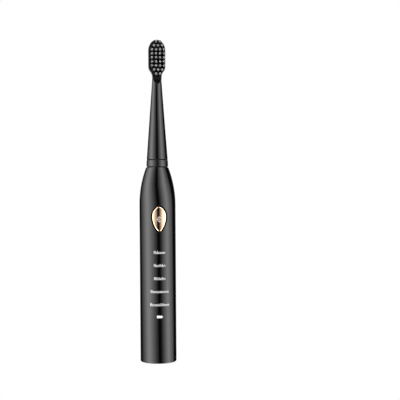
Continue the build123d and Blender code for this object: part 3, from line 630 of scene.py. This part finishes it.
def glow_material():
    """Emission that reads each panel's own strength from its vertices."""
    material = bpy.data.materials.new("softbox_glow")
    material.use_nodes = True
    tree = material.node_tree
    tree.nodes.clear()
    strength = tree.nodes.new("ShaderNodeAttribute")
    strength.attribute_name = "glow"
    emission = tree.nodes.new("ShaderNodeEmission")
    output = tree.nodes.new("ShaderNodeOutputMaterial")
    tree.links.new(strength.outputs["Fac"], emission.inputs["Strength"])
    tree.links.new(emission.outputs["Emission"], output.inputs["Surface"])
    return material


def make_softbox(name, profile, material):
    """A tall bent panel around the object; its strength follows the profile and it leans a little."""
    columns = []
    for (first, low), (second, high) in zip(profile, profile[1:]):
        for step in range(PANEL_STEPS):
            share = step / PANEL_STEPS
            columns.append((first + (second - first) * share, low + (high - low) * share))
    columns.append(profile[-1])
    verts, faces, glow = [], [], []
    for azimuth, strength in columns:
        for height, gain in TENT_ROWS:
            lean = LEAN * (min(max(height, LEAN_LOW), LEAN_HIGH) - LEAN_FROM)
            turn = radians(azimuth + lean + VIEW_AZIMUTH)
            verts.append((TENT_RADIUS * sin(turn), -TENT_RADIUS * cos(turn), height))
            glow.append(strength * gain)
    rows = len(TENT_ROWS)
    for column in range(len(columns) - 1):
        for row in range(rows - 1):
            corner = rows * column + row
            faces.append((corner, corner + rows, corner + rows + 1, corner + 1))
    mesh = bpy.data.meshes.new(name)
    mesh.from_pydata(verts, [], faces)
    attribute = mesh.attributes.new("glow", "FLOAT", "POINT")
    attribute.data.foreach_set("value", glow)
    mesh.materials.append(material)
    panel = bpy.data.objects.new(name, mesh)
    panel.visible_camera = False
    bpy.context.scene.collection.objects.link(panel)


FLOOR_HALF = 4.0
FLOOR_GAP = 0.3 * MM
# How strong the white surroundings are for every ray but the camera's
DIM_WORLD = 0.01


def make_floor():
    """Plain white floor, seen by the camera only, so that nothing of it is mirrored in the gloss."""
    mesh = bpy.data.meshes.new("floor")
    level = cad_low.z - FLOOR_GAP
    corners = [
        (x * FLOOR_HALF, y * FLOOR_HALF, level) for x, y in ((-1, -1), (1, -1), (1, 1), (-1, 1))
    ]
    mesh.from_pydata(corners, [], [(0, 1, 2, 3)])
    material = bpy.data.materials.new("floor_white")
    material.use_nodes = True
    tree = material.node_tree
    tree.nodes.clear()
    emission = tree.nodes.new("ShaderNodeEmission")
    clear = tree.nodes.new("ShaderNodeBsdfTransparent")
    side = tree.nodes.new("ShaderNodeNewGeometry")
    mix = tree.nodes.new("ShaderNodeMixShader")
    output = tree.nodes.new("ShaderNodeOutputMaterial")
    emission.inputs["Color"].default_value = (1.0, 1.0, 1.0, 1.0)
    tree.links.new(side.outputs["Backfacing"], mix.inputs["Fac"])
    tree.links.new(emission.outputs["Emission"], mix.inputs[1])
    tree.links.new(clear.outputs["BSDF"], mix.inputs[2])
    tree.links.new(mix.outputs["Shader"], output.inputs["Surface"])
    mesh.materials.append(material)
    floor = bpy.data.objects.new("floor", mesh)
    floor.visible_diffuse = False
    floor.visible_glossy = False
    floor.visible_transmission = False
    floor.visible_shadow = False
    bpy.context.scene.collection.objects.link(floor)


def make_world():
    """White behind the object, and almost nothing else for the surfaces to mirror."""
    world = bpy.data.worlds.new("studio")
    bpy.context.scene.world = world
    world.use_nodes = True
    tree = world.node_tree
    background = tree.nodes["Background"]
    background.inputs["Color"].default_value = (1.0, 1.0, 1.0, 1.0)
    rays = tree.nodes.new("ShaderNodeLightPath")
    strength = tree.nodes.new("ShaderNodeMapRange")
    strength.inputs["To Min"].default_value = DIM_WORLD
    strength.inputs["To Max"].default_value = 1.0
    tree.links.new(rays.outputs["Is Camera Ray"], strength.inputs["Value"])
    tree.links.new(strength.outputs["Result"], background.inputs["Strength"])
    bpy.context.scene.view_settings.view_transform = "Standard"


def main():
    make_camera()
    make_world()
    make_floor()
    glow = glow_material()
    for name, profile in SOFTBOXES.items():
        make_softbox(name, profile, glow)
    materials = make_materials()
    dress_nodes(materials)
    make_bristles(materials["bristle_nylon"])
    ink = moulded("ink_white", (0.46, 0.46, 0.46), (0.52, 0.52, 0.52), (0.4, 0.5), 3000.0, 5e-7)
    make_marks(ink)
    dark = moulded("symbol_dark", (0.010, 0.006, 0.004), (0.016, 0.010, 0.008), (0.4, 0.5), 3000.0, 5e-7)
    mark_piece("power_symbol", power_symbol, "power_button", dark)


main()
